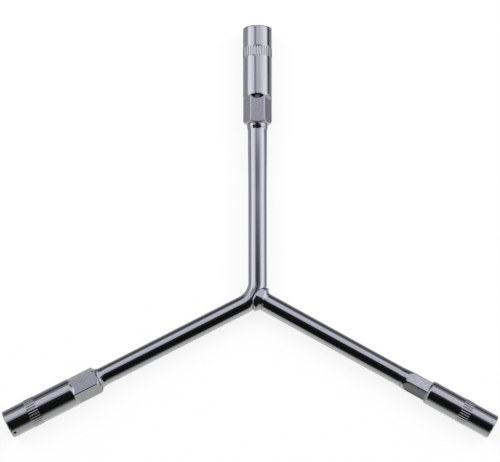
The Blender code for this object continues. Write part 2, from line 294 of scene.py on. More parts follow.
def bar_piece(name, centres, travel, radii):
    """Circles square to a level travel direction: centre + radius * (cos UP + sin across)."""
    turn = even_turns(BAR_COLUMNS)
    across = np.cross(travel, UP)[:, None, :]
    ring = np.cos(turn)[None, :, None] * UP + np.sin(turn)[None, :, None] * across
    rows = centres[:, None, :] + ring * radii[:, None, None]
    steps = np.linalg.norm(np.diff(centres, axis=0), axis=1)
    run = np.concatenate([[0.0], np.cumsum(steps)])
    around = np.broadcast_to(turn * ROD_RADIUS, rows.shape[:2])
    along = np.broadcast_to(run[:, None], around.shape)
    return skin(name, rows, around, along, (centres[0], centres[-1]))


def main_bar():
    """Down the upper arm, round the bend and out along the left arm.

    The straights end one tangent length from the junction: radius * tan(half the turn).
    """
    first, last = heading(UPPER), heading(LEFT)
    turn, offset = bend()
    centre = JUNCTION + offset
    tangent = BEND_RADIUS * math.tan(turn / 2)
    upper_end = socket_start(UPPER) + BAR_SOCKET_OVERLAP
    left_end = socket_start(LEFT) + BAR_SOCKET_OVERLAP
    down = np.linspace(upper_end, tangent, STRAIGHT_ROWS)
    out = np.linspace(tangent, left_end, STRAIGHT_ROWS)
    outward = (JUNCTION + first * tangent - centre) / BEND_RADIUS
    start = math.atan2(outward[1], outward[0])
    angle = start - turn * np.linspace(0.0, 1.0, BEND_ROWS)[1:-1]
    spoke = np.stack([np.cos(angle), np.sin(angle), 0 * angle], -1)
    centres = np.vstack([JUNCTION + down[:, None] * first, centre + spoke * BEND_RADIUS,
                         JUNCTION + out[:, None] * last])
    travel = np.vstack([np.tile(-first, (len(down), 1)),
                        np.stack([np.sin(angle), -np.cos(angle), 0 * angle], -1),
                        np.tile(last, (len(out), 1))])
    swell_start = socket_start(UPPER) - COLLAR_LENGTH - SWELL_LENGTH
    swell = smooth_step((down - swell_start) / SWELL_LENGTH)
    radii = np.full(len(centres), ROD_RADIUS)
    radii[:len(down)] += (UPPER.rod_end_radius - ROD_RADIUS) * swell
    return bar_piece("main_rod_bar", centres, travel, radii)


main_rod = main_bar()

# %% [markdown]
# The branch bar is straight. Its inner end is cut to saddle the bend, but the weld bead covers the
# cut, so this skin simply starts inside the bead.

# %% The branch bar
BRANCH_START = 2.0 * MM


def branch_bar():
    """A straight row of rings from inside the bead to inside the right socket."""
    direction = heading(RIGHT)
    station = np.linspace(BRANCH_START, socket_start(RIGHT) + BAR_SOCKET_OVERLAP, STRAIGHT_ROWS)
    centres = JUNCTION + station[:, None] * direction
    return bar_piece("branch_rod_bar", centres, np.tile(direction, (len(station), 1)),
                     np.full(len(station), ROD_RADIUS))


branch_rod = branch_bar()

# %% [markdown]
# ## The junction weld
#
# The bead is laid round the branch, ground smooth towards it, and stops dead against the bent bar.
# Along that edge a thin dark line of painted shade fills the crevice. Seen from above that line is
# an arc. So the line is found first: an upright cylinder, centred out along the branch, meets the
# bent bar in it. Each column of the skin then climbs from the line in a quarter ellipse, runs
# level, and fades into the branch. The climb leans further back on the bead's upper side, where
# the torch came in.

# %% The junction weld
SEAM_RADIUS = 9.9 * MM
SEAM_CENTRE = 7.6 * MM
WELD_LIP_RISE = 0.9 * MM
WELD_SIDE_RISE = 2.6 * MM
WELD_CLIMB = 1.2 * MM
LEAN_SHARE = 0.6
LEAN_TURN = math.radians(-45.0)
WELD_FULL = 2.5 * MM
WELD_FADE = 4.4 * MM
WELD_LEAST_RISE = 0.35 * MM
WELD_FEATHER = 0.02 * MM
WELD_SINK = 0.4 * MM
WELD_TUCK = 0.3 * MM
WELD_RIPPLE = 0.05 * MM
RIPPLE_WAVES = ((1.0, 5, 0.7), (0.6, 11, 2.1))
SEAM_SHADE = 0.8 * MM
SEAM_SWEEP = 1.2
SEAM_SAMPLES = 4001
WELD_COLUMNS = 192
CLIMB_ROWS = 18
WELD_ROWS = 30


def seam_line():
    """Turn, station and radius about the branch's axis of the line where bead and bar meet.

    On the upright cylinder station = centre - radius * cos, width = radius * sin. Height on the
    bent bar = root of (bar radius squared - distance from its centre line squared).
    """
    branch = heading(RIGHT)
    side = np.cross(branch, UP)
    _, centre = bend()
    sweep = np.linspace(-SEAM_SWEEP, SEAM_SWEEP, SEAM_SAMPLES)
    station = SEAM_CENTRE - SEAM_RADIUS * np.cos(sweep)
    width = SEAM_RADIUS * np.sin(sweep)
    plan = station[:, None] * branch + width[:, None] * side
    off = np.abs(np.linalg.norm(plan - centre, axis=1) - BEND_RADIUS)
    kept = off < ROD_RADIUS
    station, width, off = station[kept], width[kept], off[kept]
    height = np.sqrt(ROD_RADIUS ** 2 - off ** 2)
    return np.arctan2(width, height), station, np.hypot(width, height)


def weld_bead():
    """Columns round the branch, rows from inside the bent bar, up over the lip and out.

    The ripple is a sum of height * sin(count * turn + phase) over the waves.
    """
    seam_turn, seam_station, seam_radius = seam_line()
    turn = even_turns(WELD_COLUMNS)
    fold = np.arctan2(np.sin(turn), np.abs(np.cos(turn)))
    station = np.interp(fold, seam_turn, seam_station)
    radius = np.interp(fold, seam_turn, seam_radius)
    ripple = WELD_RIPPLE * sum(
        height * np.sin(count * turn + phase) for height, count, phase in RIPPLE_WAVES)
    rise = WELD_LIP_RISE + (WELD_SIDE_RISE - WELD_LIP_RISE) * np.sin(turn) ** 2 + ripple
    full = np.maximum(ROD_RADIUS + rise, radius + WELD_LEAST_RISE)
    front = WELD_CLIMB * (1.0 + LEAN_SHARE * np.cos(turn - LEAN_TURN))
    layers = [(station + WELD_CLIMB, radius / 2), (station + WELD_TUCK, radius - WELD_SINK)]
    for share in 1.0 - np.cos(np.linspace(0.0, np.pi / 2, CLIMB_ROWS)):
        climb = np.sqrt(max(0.0, 1.0 - (1.0 - share) ** 2))
        layers.append((station + front * share, radius + (full - radius) * climb))
    start = station + front
    end = WELD_FULL + WELD_FADE
    for share in np.linspace(0.0, 1.0, WELD_ROWS)[1:]:
        here = start + (end - start) * share
        dress = (1.0 - smooth_step((here - WELD_FULL) / WELD_FADE)) ** 2
        layers.append((here, ROD_RADIUS + (full - ROD_RADIUS) * dress + WELD_FEATHER))
    layers.append((np.full(WELD_COLUMNS, end + WELD_TUCK),
                   np.full(WELD_COLUMNS, ROD_RADIUS - WELD_SINK)))
    stations, radii = (np.array([layer[k] for layer in layers]) for k in range(2))
    branch = heading(RIGHT)
    side = np.cross(branch, UP)
    rows = (JUNCTION + stations[..., None] * branch
            + radii[..., None] * (np.cos(turn)[:, None] * UP + np.sin(turn)[:, None] * side))
    around = np.broadcast_to(turn * ROD_RADIUS, radii.shape)
    # Painted shade: points near the seam line are darkened, fully at the seam and fading with
    # distance from it.
    crevice = 1.0 - smooth_step(np.hypot(stations - station, radii - radius) / SEAM_SHADE)
    crevice[0] = 1.0
    poles = (JUNCTION + branch * WELD_FULL, JUNCTION + branch * end)
    return skin("junction_weld_bead", rows, around, stations, poles, {"crevice": crevice})


junction_weld = weld_bead()

# %% [markdown]
# ## Weld rings behind the sockets
#
# Each socket is welded on over a short groove. The ring of weld is plain turned work after
# grinding: a profile of a few points, smoothed, carried round the axis, and left slightly uneven.
# It is a closed loop of rows, like a ring, because the bar passes through it.

# %% The socket welds
COLLAR_COLUMNS = 144
COLLAR_ROWS = 26
COLLAR_BORE = 5.0 * MM
COLLAR_WANDER = 0.12 * MM
COLLAR_UNEVEN = 0.04 * MM
COLLAR_TUCK = 0.03 * MM
PROFILE_WINDOWS = 9
WANDER_PHASE = 1.0
UNEVEN_PHASE = 0.4
DARKEST_CREVICE_SHADE = 0.7
CREVICE_SHADE_DEPTH = 0.8 * MM
CREVICE_SHADE_ROWS = 3


def smooth_profile(shares, samples):
    """The line through the shares, averaged over a window: samples / windows, made odd."""
    knots = np.array(shares)
    fine = np.linspace(0.0, 1.0, samples)
    line = np.interp(fine, knots[:, 0], knots[:, 1])
    window = samples // PROFILE_WINDOWS | 1
    padded = np.pad(line, window // 2, mode="reflect", reflect_type="odd")
    return fine, np.convolve(padded, np.ones(window) / window, "valid")


def collar(arm):
    """Rows over the ring's outside, then back through its bore.

    The ring starts later over the top than at the sides: height + lag * sin(pi share) * cos^2.
    Its start wanders by a wave of two, and its middle is uneven by a wave of three.
    """
    fine, rise = smooth_profile(arm.collar_shares, COLLAR_ROWS)
    turn = even_turns(COLLAR_COLUMNS)
    fine, rise = fine[:, None], rise[:, None]
    wander = COLLAR_WANDER * np.sin(2 * turn + WANDER_PHASE) * (1.0 - fine)
    height = -COLLAR_LENGTH * (1.0 - fine) + wander
    height = height + arm.collar_lag * np.sin(np.pi * fine) * np.cos(turn) ** 2
    uneven = COLLAR_UNEVEN * np.sin(3 * turn + UNEVEN_PHASE) * np.sin(np.pi * fine)
    radius = arm.rod_end_radius + arm.collar_rise * rise + uneven - COLLAR_TUCK * (1.0 - fine) ** 4
    inner = np.full((1, COLLAR_COLUMNS), COLLAR_BORE)
    radius = np.vstack([inner, radius, inner])
    height = np.vstack([height[:1], height, height[-1:]])
    around = np.broadcast_to(turn * arm.rod_end_radius, radius.shape)
    # Painted shade: the last rows, where the ring meets the socket's nose, are darkened, more for a
    # higher ring.
    crevice = np.zeros(radius.shape)
    crevice[-CREVICE_SHADE_ROWS:] = min(DARKEST_CREVICE_SHADE, arm.collar_rise / CREVICE_SHADE_DEPTH)
    return skin(arm.name + "_weld_ring", arm_place(arm, radius, turn, height), around, height,
                None, {"crevice": crevice})


collars = {arm.name: collar(arm) for arm in ARMS}

# %% [markdown]
# ## The sockets
#
# A socket is turned, then six flats are milled on its inner part, a straight knurl is rolled round
# its body and a hexagon is broached into its mouth. One skin carries all of that. Round the body
# the columns are evenly spaced, for the knurl; on the flats they gather at the six corners, so
# that the rounded corners stay crisp. Between the two the columns shift along the plain part of
# the body, where a shift can't show.
#
# The rows are collected one by one, from the inner end to the floor of the bore. Next to its
# place, a row carries three tags that the finish reads: satin, inside, and one that paints shade
# into the punched hollow.

# %% Helpers for the sockets
COLUMNS_PER_RIDGE = 18
GATHER = 0.85


def gathered_turns(columns):
    """Six sectors; in each the turn is a mix of x and half the sine of pi x, x from -1/2 to 1/2."""
    sector = 6.0 * np.arange(columns) / columns
    whole = np.floor(sector + 0.5)
    x = sector - whole
    return (whole + (1.0 - GATHER) * x + GATHER * 0.5 * np.sin(np.pi * x)) * np.pi / 3


def hexagon_radius(turn, flat, corner):
    """Distance to a hexagon's edge: flat / cos on the flats, and a circle's near the corners."""
    fold = np.abs((turn + np.pi / 6) % (np.pi / 3) - np.pi / 6)
    centre = (flat - corner) / math.cos(math.pi / 6)
    off = np.pi / 6 - fold
    arc = centre * np.cos(off) + np.sqrt(np.maximum(corner ** 2 - (centre * np.sin(off)) ** 2, 0.0))
    limit = math.atan2(centre / 2, flat)
    return np.where(fold < limit, flat / np.cos(fold), arc)


class SocketRows:
    """The rows of one socket, with its columns in two spacings: near the corners, and even."""

    def __init__(self, arm):
        self.arm = arm
        self.body = body_radius(arm)
        self.columns = arm.ridges * COLUMNS_PER_RIDGE
        self.even = even_turns(self.columns)
        self.near = gathered_turns(self.columns)
        self.rows = []

    def add(self, turn, radius, height, satin=0.0, inside=0.0, crevice=0.0):
        """One more row, where each value is a number or an array with one for every column."""
        values = np.broadcast_arrays(turn, radius, height, satin, inside, crevice)
        self.rows.append(np.stack([np.broadcast_to(v, (self.columns,)) for v in values]))


print("columns round the sockets:", [arm.ridges * COLUMNS_PER_RIDGE for arm in ARMS])

# %% [markdown]
# The shank begins at the weld with the turned nose, and the flats are cut through it. Neither the
# edge where a flat leaves the nose nor the scalloped one where it runs out into the conical
# shoulder is drawn. Each column knows its own hexagon radius, and the flat lies between the
# heights where nose and cone reach that radius, so both curves come out by themselves.
#
# A guard row stands next to every rounded edge. Without it the edge's leaning normals would be
# spread over the whole flat, and a mirror shows even one degree of that.

# %% The shank
SHANK_LENGTH = 18.2 * MM
SHANK_CORNER_RADIUS = 0.8 * MM
SHOULDER_ROUND = 0.8 * MM
CREASE_ROUND = 0.16 * MM
GUARD = 0.25 * MM
SATIN_EDGE = 0.3 * MM
NOSE_SAMPLES = 200
NOSE_ROWS = 14
CREASE_ROWS = 5
SHOULDER_ROWS = 6
TINY = 1e-9


def rounded_corner(before, corner, after, size, steps):
    """Points of a quadratic curve that cuts a corner: (1-t)^2 a + 2t(1-t) corner + t^2 b."""
    def part(end):
        span = np.linalg.norm(end - corner, axis=-1, keepdims=True)
        return corner + (end - corner) * np.minimum(0.5, size / np.maximum(span, TINY))
    a, b = part(before), part(after)
    return [(1 - t) ** 2 * a + 2 * t * (1 - t) * corner + t * t * b
            for t in np.linspace(0, 1, steps)]


def flat_distance(arm):
    """From the axis to a flat: the body's radius less the flat's depth."""
    return body_radius(arm) - arm.flat_depth


def ground_share(arm, flat, hexagon):
    """The arm's satin share on the flats, and nought where the hexagon's corners begin."""
    limit = flat / math.cos(math.pi / 6) - SHANK_CORNER_RADIUS / 2
    return smooth_step((limit - hexagon) / SATIN_EDGE) * arm.satin_share


def add_shank(rows):
    """Nose, crease, flats, run-out and shoulder.

    The cone reaches a column's hexagon at shank length - (body - hexagon) / tan(cone's angle).
    """
    arm, near, body = rows.arm, rows.near, rows.body
    flat = flat_distance(arm)
    hexagon = hexagon_radius(near, flat, SHANK_CORNER_RADIUS)
    nose = arm.rod_end_radius + arm.collar_rise
    share, rise = smooth_profile(arm.nose_shares, NOSE_SAMPLES)
    nose_radii = nose + (float(hexagon.max()) - nose) * rise
    nose_heights = arm.nose_length * share
    nose_end = np.interp(hexagon, nose_radii, nose_heights)
    for step in np.linspace(0.0, 1.0, NOSE_ROWS)[:-1]:
        height = nose_end * step
        radius = np.interp(height, nose_heights, nose_radii)
        rows.add(near, np.minimum(radius, hexagon), height)
    shoulder = SHANK_LENGTH - (body - hexagon) / math.tan(arm.shoulder)
    before = np.stack([height, radius], -1)
    crease = np.stack([nose_end, hexagon], -1)
    run_out = np.stack([shoulder, hexagon], -1)
    edge = np.stack([np.full(rows.columns, SHANK_LENGTH), np.full(rows.columns, body)], -1)
    beyond = edge + [3 * SHOULDER_ROUND, 0.0]
    ground = ground_share(arm, flat, hexagon)
    growing = np.linspace(0.0, 1.0, CREASE_ROWS)
    points = rounded_corner(before, crease, run_out, CREASE_ROUND, CREASE_ROWS)
    for share, point in zip(growing, points):
        rows.add(near, point[:, 1], point[:, 0], satin=ground * share)
    flat_start, flat_end = nose_end + 2 * CREASE_ROUND, shoulder - 2 * CREASE_ROUND
    for step in (0.0, 0.5, 1.0):
        rows.add(near, hexagon, flat_start + (flat_end - flat_start) * step, satin=ground)
    points = rounded_corner(crease, run_out, edge, CREASE_ROUND, CREASE_ROWS)
    for share, point in zip(growing, points):
        rows.add(near, point[:, 1], point[:, 0], satin=ground * (1.0 - share))
    for point in rounded_corner(run_out, edge, beyond, SHOULDER_ROUND, SHOULDER_ROWS):
        rows.add(near, point[:, 1], point[:, 0])
    rows.add(near, body, SHANK_LENGTH + SHOULDER_ROUND + GUARD)


print("mm across flats:", [round(2 * flat_distance(arm) / MM, 2) for arm in ARMS])

# %% [markdown]
# The knurl is a band of narrow ridges with round ends on a flat valley. A ridge is a capsule: the
# distance to a short straight line is compared with half its width. Its section is one wave of a
# cosine, because the roll's teeth are rounded, and such a ridge mirrors the whole room in one
# thin bar, bright where the valley is dark and dark where the valley is bright.

# %% The round body
KNURL_WIDTH = 6.9 * MM
RIDGE_HEIGHT = 0.145 * MM
KNURL_RUNOUT = 2.0 * MM
RISE_SHARE = 0.7
RIDGE_SHARE = 0.55
KNURL_ROWS = 44
SHIFT_ROWS = 20


def ridge_pitch(arm):
    """The body's girth divided by the number of ridges."""
    return 2 * np.pi * body_radius(arm) / arm.ridges


def knurl_offset(arm, turn, height, middle):
    """The valley's level, plus ridge height * (1 + cos(pi * distance / half width)) / 2.

    The sum stops at the ridges' own level, because the valley climbs out before they end.
    """
    pitch = ridge_pitch(arm)
    across = (((turn - arm.knurl_turn) * arm.ridges / (2 * np.pi) + 0.5) % 1.0 - 0.5) * pitch
    from_middle = np.abs(height - middle)
    half_width = RIDGE_SHARE * pitch / 2
    half_length = KNURL_WIDTH / 2 - half_width
    distance = np.hypot(across, np.maximum(from_middle - half_length, 0.0)) / half_width
    band = smooth_step((KNURL_WIDTH / 2 + KNURL_RUNOUT / 3 - from_middle) / KNURL_RUNOUT)
    top = RISE_SHARE * arm.knurl_rise
    ridge = RIDGE_HEIGHT * (1.0 + np.cos(np.pi * np.minimum(distance, 1.0))) / 2
    return np.minimum((top - RIDGE_HEIGHT) * band + ridge, top)


def add_body(rows):
    """The plain part, where the columns shift to even spacing, and the knurled band.

    The band's rows gather at its two ends: their heights go with 1 - cos of an even step.
    """
    arm, near, even, body = rows.arm, rows.near, rows.even, rows.body
    knurl_end = arm.length - arm.knurl_to_mouth + KNURL_RUNOUT / 2
    knurl_start = knurl_end - KNURL_WIDTH - KNURL_RUNOUT
    plain_start = SHANK_LENGTH + 3 * SHOULDER_ROUND
    for step in np.linspace(0.0, 1.0, SHIFT_ROWS):
        height = plain_start + (knurl_start - plain_start) * step
        rows.add(near + (even - near) * smooth_step(step), body, height)
    middle = (knurl_start + knurl_end) / 2
    for step in np.linspace(0.0, np.pi, KNURL_ROWS)[1:]:
        height = knurl_start + (knurl_end - knurl_start) * (1.0 - math.cos(step)) / 2
        rows.add(even, body + knurl_offset(arm, even, height, middle), height)
    rows.add(even, body, knurl_end + GUARD)


print("mm from ridge to ridge:", [round(ridge_pitch(arm) / MM, 2) for arm in ARMS])

# %% [markdown]
# The left socket has one small hollow near its mouth, as a punch leaves it. It could be a cutter
# for a boolean, but a few rows that dip are enough and keep the skin whole. The hollow's inside is
# darkened with painted shade.

# %% The punched hollow
DIMPLE_TO_MOUTH = 2.4 * MM
DIMPLE_TURN = math.radians(-59.0)
DIMPLE_RADIUS = 1.15 * MM
DIMPLE_DEPTH = 0.5 * MM
DIMPLE_REACH = 1.2
DIMPLE_SLOPE = 1.5
DIMPLE_SHADE = 3.0
DIMPLE_SHADE_START = 0.1
DIMPLE_ROWS = 17


def add_dimple(rows):
    """Depth * smooth step of slope * (1 - distance from its middle / radius)."""
    middle = rows.arm.length - DIMPLE_TO_MOUTH
    off = (rows.even - DIMPLE_TURN + np.pi) % (2 * np.pi) - np.pi
    for step in np.linspace(-DIMPLE_REACH, DIMPLE_REACH, DIMPLE_ROWS):
        distance = np.hypot(off * rows.body / DIMPLE_RADIUS, step)
        hollow = smooth_step(DIMPLE_SLOPE * (1.0 - distance))
        # Painted shade: the inside of the hollow is darkened towards black.
        rows.add(rows.even, rows.body - DIMPLE_DEPTH * hollow, middle + DIMPLE_RADIUS * step,
                 crevice=smooth_step(DIMPLE_SHADE * hollow - DIMPLE_SHADE_START))


print("hollow", round(2 * DIMPLE_RADIUS / MM, 2), "mm across")

# %% [markdown]
# The mouth is a rounded rim, a flat end face, a lead-in cut by a cone, the six-point recess down
# to the nut's seat, and a bore behind it that clears the bolt. Plate reaches only a little way
# into a recess, so the inside tag grows over the first millimetres.

# %% The mouth
RIM_ROUND = 1.0 * MM
RIM_WEAR = 0.6
RECESS_CORNER_RADIUS = 0.2 * MM
LEAD_IN_SHARE = 0.5
LEAST_LEAD_IN = 0.02 * MM
SEAT_WIDTH = 1.5 * MM
BOLT_ROOM = 12.0 * MM
PLATED_DEPTH = 2.5 * MM
LEAD_IN_DULL = 0.3
PLATED_DULL = 0.8
RIM_ROWS = 9
FACE_ROWS = 6


def add_mouth(rows):
    """Rim, face, recess and bore; gives the height of the bore's floor.

    The rim is a quarter circle: radius body - round * (1 - cos), height length - round * (1 - sin).
    """
    arm, near, even, body = rows.arm, rows.near, rows.even, rows.body
    for step in np.linspace(0.0, np.pi / 2, RIM_ROWS):
        rows.add(even, body - RIM_ROUND * (1.0 - math.cos(step)),
                 arm.length - RIM_ROUND * (1.0 - math.sin(step)),
                 inside=RIM_WEAR * math.sin(step) ** 2)
    half = arm.nut_size / 2
    lead_in = half + (recess_corner(arm) - half) * LEAD_IN_SHARE
    recess = hexagon_radius(near, half, RECESS_CORNER_RADIUS)
    opening = np.maximum(lead_in, recess)
    for step in np.linspace(0.0, 1.0, FACE_ROWS)[1:]:
        radius = (body - RIM_ROUND) * (1.0 - step) + opening * step
        rows.add(even + (near - even) * step, radius, arm.length)
    lead_in_end = arm.length - np.maximum(lead_in - recess, LEAST_LEAD_IN)
    seat = arm.length - arm.nut_size
    bore = half - SEAT_WIDTH
    floor = seat - BOLT_ROOM
    for radius, height, dull in (
        (recess, lead_in_end, LEAD_IN_DULL), (recess, arm.length - PLATED_DEPTH, PLATED_DULL),
        (recess, seat, 1.0), (bore, seat, 1.0),
        (bore, floor + bore / 2, 1.0), (bore / 2, floor, 1.0),
    ):
        rows.add(near, radius, height, inside=dull)
    return floor


print("mm from mouth to seat:", [round(arm.nut_size / MM) for arm in ARMS])

# %% [markdown]
# With the three helpers the rows of any size come in the order from shank to bore, and one skin
# closes them. Its chart runs round the body and along the outline of the first column.

# %% The three sockets
def socket(arm):
    """One skin over all rows, shut at both ends by a point on the axis."""
    rows = SocketRows(arm)
    add_shank(rows)
    add_body(rows)
    if arm is LEFT:
        add_dimple(rows)
    else:
        rows.add(rows.even, rows.body, arm.length - RIM_ROUND - GUARD)
    floor = add_mouth(rows)
    turn, radius, height, satin, inside, crevice = np.array(rows.rows).transpose(1, 0, 2)
    steps = np.hypot(np.diff(radius[:, 0]), np.diff(height[:, 0]))
    run = np.concatenate([[0.0], np.cumsum(steps)])
    along = heading(arm)
    start = JUNCTION + along * socket_start(arm)
    return skin(arm.name + "_socket_body", arm_place(arm, radius, turn, height), turn * rows.body,
                np.broadcast_to(run[:, None], radius.shape), (start, start + along * floor),
                {"satin": satin, "inside": inside, "crevice": crevice})


sockets = {arm.name: socket(arm) for arm in ARMS}

# %% [markdown]
# ## Finishes
#
# Chrome here is one base with four hands at work on it. The bars were drawn and polished along
# their length, the socket bodies were polished on a lathe, the flats came from a belt and stayed
# satin, and the welds were dressed by hand and ripple a little. Each finish is fine relief from a
# stretched noise on the piece's chart, over a long, faint waviness that bends reflections, and a
# roughness that drifts. Inside the recess the plate is thin and the steel looks dull.

# %% Short calls for nodes
MIX_SOCKETS = {"FLOAT": (2, 3, 0), "RGBA": (6, 7, 2)}


def add_node(tree, kind, values=None, **settings):
    """A new node of type ShaderNode + kind; its inputs are sockets to link, or plain values."""
    node = tree.nodes.new("ShaderNode" + kind)
    for key, value in settings.items():
        setattr(node, key, value)
    for key, value in (values or {}).items():
        put(tree, node.inputs[key], value)
    return node


def put(tree, entry, value):
    """Links a socket to a node's input, or sets the input to a plain value."""
    if isinstance(value, bpy.types.NodeSocket):
        tree.links.new(value, entry)
    else:
        entry.default_value = value


def maths(tree, operation, *values):
    """The result of a maths node, such as MULTIPLY or MAXIMUM."""
    return add_node(tree, "Math", dict(enumerate(values)), operation=operation).outputs[0]


def blend(tree, factor, first, second, kind="RGBA"):
    """First * (1 - factor) + second * factor, for colours or for numbers."""
    a, b, result = MIX_SOCKETS[kind]
    mix = add_node(tree, "Mix", data_type=kind)
    for key, value in ((0, factor), (a, first), (b, second)):
        put(tree, mix.inputs[key], value)
    return mix.outputs[result]


class Finish:
    """A material with short calls for the nodes that a finish needs."""

    def __init__(self, name):
        self.material = bpy.data.materials.new(name)
        self.material.use_nodes = True
        self.tree = self.material.node_tree
        self.shader = self.tree.nodes["Principled BSDF"]

    def node(self, kind, values=None, **settings):
        return add_node(self.tree, kind, values, **settings)

    def noise(self, vector, scale, detail, stretch=(1.0, 1.0, 1.0)):
        mapping = self.node("Mapping", {"Vector": vector, "Scale": stretch})
        return self.node("TexNoise", {
            "Vector": mapping.outputs["Vector"], "Scale": scale, "Detail": detail}).outputs["Fac"]

    def spread(self, value, given, wanted):
        return self.node("MapRange", {
            "Value": value, "From Min": given[0], "From Max": given[1],
            "To Min": wanted[0], "To Max": wanted[1],
        }).outputs["Result"]

    def bump(self, height, distance, **values):
        return self.node("Bump", {
            "Height": height, "Distance": distance, **values}).outputs["Normal"]

    def blend(self, factor, first, second, kind="RGBA"):
        return blend(self.tree, factor, first, second, kind)

    def tag(self, name):
        return self.node("Attribute", attribute_name=name).outputs["Fac"]

    def set(self, name, value):
        put(self.tree, self.shader.inputs[name], value)


print("a mix node joins", " or ".join(MIX_SOCKETS))

# %% [markdown]
# A tag painted on the points decides where a finish gives way to another: the ground flats or the
# dull recess. One more tag paints shade into the colour: the dark line where two pieces meet and
# the punched hollow. Each is one more layer on colour, roughness and, for the ground flats, on the
# relief.

# %% Building a chrome finish
CHROME = (0.66, 0.66, 0.685, 1.0)
SATIN = (0.64, 0.635, 0.67, 1.0)
GROUND = (0.72, 0.715, 0.74, 1.0)
GROUND_DARK = (0.58, 0.575, 0.605, 1.0)
DULL = (0.24, 0.235, 0.23, 1.0)
# Painted shade: near black, laid where two pieces meet and in the punched hollow.
CREVICE_SHADE = (0.02, 0.02, 0.022, 1.0)
NOISE_MIDDLE = (0.3, 0.7)
DRIFT_SCALE = 160.0
DRIFT_RANGE = (0.35, 0.75)
SATIN_MOST = 0.35
MOTTLE_SCALE = 900.0
MOTTLE_RANGE = (0.35, 0.65)
GROUND_ROUGHNESS = (0.18, 0.25)
GRAIN_SCALE = 1400.0
GRAIN_DEPTH = 1.2e-5
GRAIN_STRENGTH = 0.35
DULL_ROUGHNESS = 0.42
CREVICE_ROUGHNESS = 0.5


def ground_flats(finish, place, colour, roughness, normal):
    """Mottled satin grain, laid over the plate by the satin tag."""
    satin = finish.tag("satin")
    mottle = finish.noise(place, MOTTLE_SCALE, detail=3.0)
    shade = finish.spread(mottle, MOTTLE_RANGE, (0.0, 1.0))
    colour = finish.blend(satin, colour, finish.blend(shade, GROUND, GROUND_DARK))
    rough = finish.spread(mottle, NOISE_MIDDLE, GROUND_ROUGHNESS)
    roughness = finish.blend(satin, roughness, rough, "FLOAT")
    strength = maths(finish.tree, "MULTIPLY", satin, GRAIN_STRENGTH)
    grain = finish.noise(place, GRAIN_SCALE, detail=2.0)
    normal = finish.bump(grain, GRAIN_DEPTH, Strength=strength, Normal=normal)
    return colour, roughness, normal


def chrome(name, stretch, line_depth, wave_scale, wave_depth, rough, tags=()):
    """Polished plate: fine lines on the chart, a long wave on the object, and drifting gloss."""
    finish = Finish(name)
    chart = finish.node("UVMap", uv_map="chart").outputs["UV"]
    place = finish.node("TexCoord").outputs["Object"]
    drift = finish.noise(place, DRIFT_SCALE, detail=3.0)
    roughness = finish.spread(drift, NOISE_MIDDLE, rough)
    colour = finish.blend(finish.spread(drift, DRIFT_RANGE, (0.0, SATIN_MOST)), CHROME, SATIN)
    wave = finish.noise(place, wave_scale, detail=1.0)
    lines = finish.noise(chart, 1.0, detail=3.0, stretch=stretch)
    normal = finish.bump(wave, wave_depth)
    normal = finish.bump(lines, line_depth, Normal=normal)
    if "satin" in tags:
        colour, roughness, normal = ground_flats(finish, place, colour, roughness, normal)
    # The second tag paints shade: near black where two pieces meet and in the punched hollow.
    for tag, shade, dullness in (("inside", DULL, DULL_ROUGHNESS),
                                 ("crevice", CREVICE_SHADE, CREVICE_ROUGHNESS)):
        if tag in tags:
            mark = finish.tag(tag)
            colour = finish.blend(mark, colour, shade)
            roughness = finish.blend(mark, roughness, dullness, "FLOAT")
    finish.set("Metallic", 1.0)
    finish.set("Base Color", colour)
    finish.set("Roughness", roughness)
    finish.set("Normal", normal)
    return finish.material


rod_chrome = chrome(
    "rod_chrome_plate", stretch=(3500.0, 90.0, 1.0), line_depth=3.0e-7,
    wave_scale=55.0, wave_depth=1.2e-5, rough=(0.045, 0.085))
socket_chrome = chrome(
    "socket_chrome_plate", stretch=(60.0, 3500.0, 1.0), line_depth=3.0e-7,
    wave_scale=70.0, wave_depth=0.8e-5, rough=(0.04, 0.08), tags=("satin", "inside", "crevice"))
weld_chrome = chrome(
    "weld_chrome_plate", stretch=(900.0, 900.0, 1.0), line_depth=1.2e-6,
    wave_scale=330.0, wave_depth=3.0e-5, rough=(0.06, 0.12), tags=("crevice",))
print("finishes:", rod_chrome.name, socket_chrome.name, weld_chrome.name)

# %% [markdown]
# Each skin now stands for its plain CAD solid and rides with the frame's only body.

# %% Joining the pieces to the frame
def dress(piece, material, slot, *nodes):
    """Gives a piece its finish and hangs it under the frame's body; the slot is not used."""
    piece.data.materials.append(material)
    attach(piece, "root")
    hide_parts(*nodes)


dress(main_rod, rod_chrome, "rod_chrome", "main_rod")
dress(branch_rod, rod_chrome, "rod_chrome", "branch_rod")
dress(junction_weld, weld_chrome, "weld_chrome", "junction_weld")
for arm in ARMS:
    dress(sockets[arm.name], socket_chrome, "socket_chrome", arm.name + "_socket")
    dress(collars[arm.name], weld_chrome, "weld_chrome", arm.name + "_socket_weld")

# %% [markdown]
# ## The studio
#
# A mirror finish shows the studio, so the studio is painted with care. Straight overhead, where
# the camera stands, is a dark panel that reaches far down on the near side. Bright panels stand to
# both sides and behind, split by one thin seam. At the horizon runs a dark gap with one pale
# opening straight behind, and below it lies the pale ground, lighter on the near side. All of it
# is a function of direction alone: each layer is a colour with soft edges in x, y or z, painted
# over the last one.

# %% Painting by direction
world = bpy.data.worlds.new("studio")
bpy.context.scene.world = world
world.use_nodes = True
sky = world.node_tree
sky.nodes.clear()

direction = add_node(sky, "TexCoord").outputs["Generated"]
X, Y, Z = add_node(sky, "SeparateXYZ", {0: direction}).outputs
ABS_X = maths(sky, "ABSOLUTE", X)


